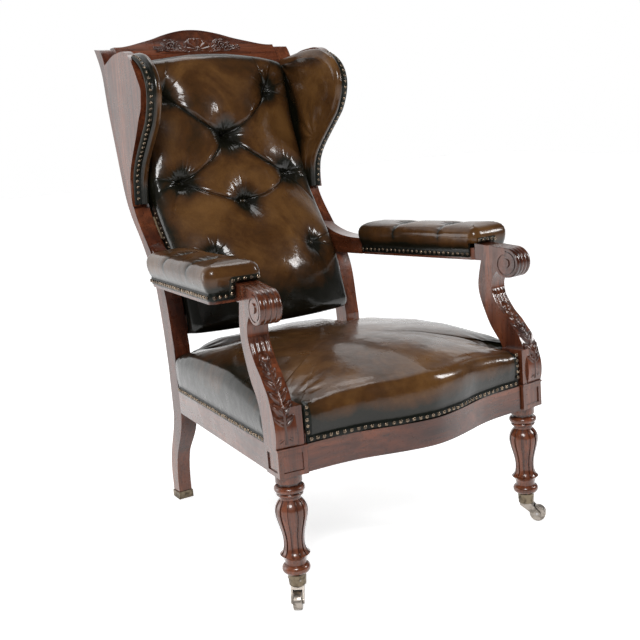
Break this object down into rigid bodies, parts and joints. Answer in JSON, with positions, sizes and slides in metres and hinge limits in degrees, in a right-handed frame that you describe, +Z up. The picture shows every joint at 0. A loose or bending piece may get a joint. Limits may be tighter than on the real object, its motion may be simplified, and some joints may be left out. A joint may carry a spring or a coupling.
{
  "type": "wing chair",
  "caption": "Mahogany wing chair with a tufted leather back, padded open arms on scrolled supports and turned front legs on casters.",
  "frame": {"origin": "centre of the overall box, on the floor", "axes": "+Z up, -Y to the front, +X to the viewer's right when facing the chair"},
  "size_m": [0.7564, 0.9904, 1.1316],
  "materials": {
    "mahogany": "French polish, glossy",
    "hide": "hand-dyed, waxed",
    "dark_hide": "dark band, waxed",
    "nail_brass": "domed nails, aged",
    "caster_brass": "cast, patinated",
    "axle_steel": "plain turned",
    "steel": "drawn wire and screws",
    "webbing": "woven jute",
    "horsehair": "curled hair stuffing",
    "cloth": "hessian"
  },
  "bodies": {
    "chair": {"arm_cover_left": "hide", "arm_cover_right": "hide", "arm_nails_left": "nail_brass", "arm_nails_right": "nail_brass", "arm_rail_left": "mahogany", "arm_rail_right": "mahogany", "arm_stuffing_left": "horsehair", "arm_stuffing_right": "horsehair", "arm_support_left": "mahogany", "arm_support_right": "mahogany", "back_bottom_rail": "mahogany", "back_buttons": "dark_hide", "back_cover": "hide", "back_nails": "nail_brass", "back_post_left": "mahogany", "back_post_right": "mahogany", "back_stuffing": "horsehair", "back_webbing": "webbing", "caster_cup_left": "caster_brass", "caster_cup_right": "caster_brass", "caster_screws": "caster_brass", "caster_stem_left": "axle_steel", "caster_stem_right": "axle_steel", "corner_block_screws": "steel", "corner_blocks": "mahogany", "crest_rail": "mahogany", "dust_cover": "cloth", "front_leg_left": "mahogany", "front_leg_right": "mahogany", "outside_back": "hide", "rear_shoe_left": "caster_brass", "rear_shoe_right": "caster_brass", "seat_banding": "dark_hide", "seat_cover": "hide", "seat_front_rail": "mahogany", "seat_hessian": "cloth", "seat_nails": "nail_brass", "seat_rear_rail": "mahogany", "seat_springs": "steel", "seat_stuffing": "horsehair", "seat_webbing": "webbing", "side_rail_left": "mahogany", "side_rail_right": "mahogany", "wing_cover_left": "hide", "wing_cover_right": "hide", "wing_nails_left": "nail_brass", "wing_nails_right": "nail_brass", "wing_panel_left": "mahogany", "wing_panel_right": "mahogany", "wing_stuffing_left": "horsehair", "wing_stuffing_right": "horsehair"},
    "caster_fork_left": {"caster_axle_left": "axle_steel", "caster_horn_left": "caster_brass"},
    "caster_wheel_left": {"caster_wheel_left": "caster_brass"},
    "caster_fork_right": {"caster_axle_right": "axle_steel", "caster_horn_right": "caster_brass"},
    "caster_wheel_right": {"caster_wheel_right": "caster_brass"}
  },
  "joints": [
    {"name": "caster_swivel_left", "type": "hinge", "parent": "chair", "child": "caster_fork_left", "pos_m": [-0.3025, -0.43222, -0.00084], "axis": [0, 0.0523, 0.9986], "continuous": true},
    {"name": "wheel_spin_left", "type": "hinge", "parent": "caster_fork_left", "child": "caster_wheel_left", "pos_m": [-0.3172, -0.4515, 0.01769], "axis": [0.809, -0.587, 0.0308], "continuous": true},
    {"name": "caster_swivel_right", "type": "hinge", "parent": "chair", "child": "caster_fork_right", "pos_m": [0.3025, -0.43222, -0.00084], "axis": [0, 0.0523, 0.9986], "continuous": true},
    {"name": "wheel_spin_right", "type": "hinge", "parent": "caster_fork_right", "child": "caster_wheel_right", "pos_m": [0.3172, -0.4515, 0.01769], "axis": [0.809, 0.587, -0.0308], "continuous": true}
  ]
}
